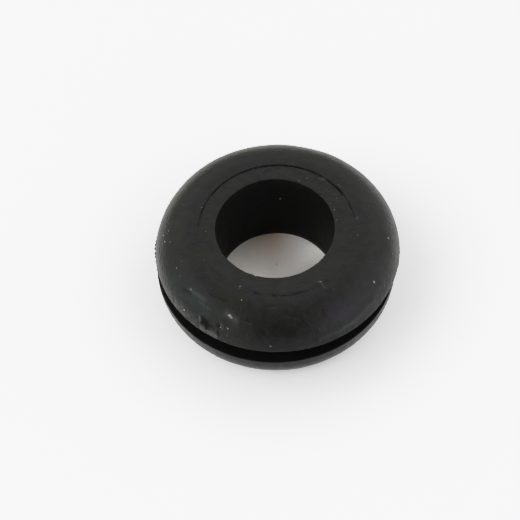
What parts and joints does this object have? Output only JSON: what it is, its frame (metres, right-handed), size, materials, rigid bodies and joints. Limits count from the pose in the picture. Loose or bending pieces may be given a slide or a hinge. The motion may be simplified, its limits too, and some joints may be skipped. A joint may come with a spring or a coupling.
{
  "type": "rubber grommet",
  "caption": "Round one-piece rubber grommet: two flanges with rounded rims, a groove between them for the edge of a panel hole, and a plain bore for a cable.",
  "frame": {"origin": "centre of the bore at the rest face, the underside of the lower flange", "axes": "+Z along the bore, up from the rest face to the face that the picture shows; -Y towards the picture's viewer, +X to the picture's right"},
  "size_m": [0.0197, 0.0198, 0.0077],
  "materials": {
    "black_rubber": "moulded black rubber with a low sheen, a little dust and a scuff on the upper rim"
  },
  "bodies": {
    "root": {"grommet": "black_rubber"}
  },
  "joints": []
}
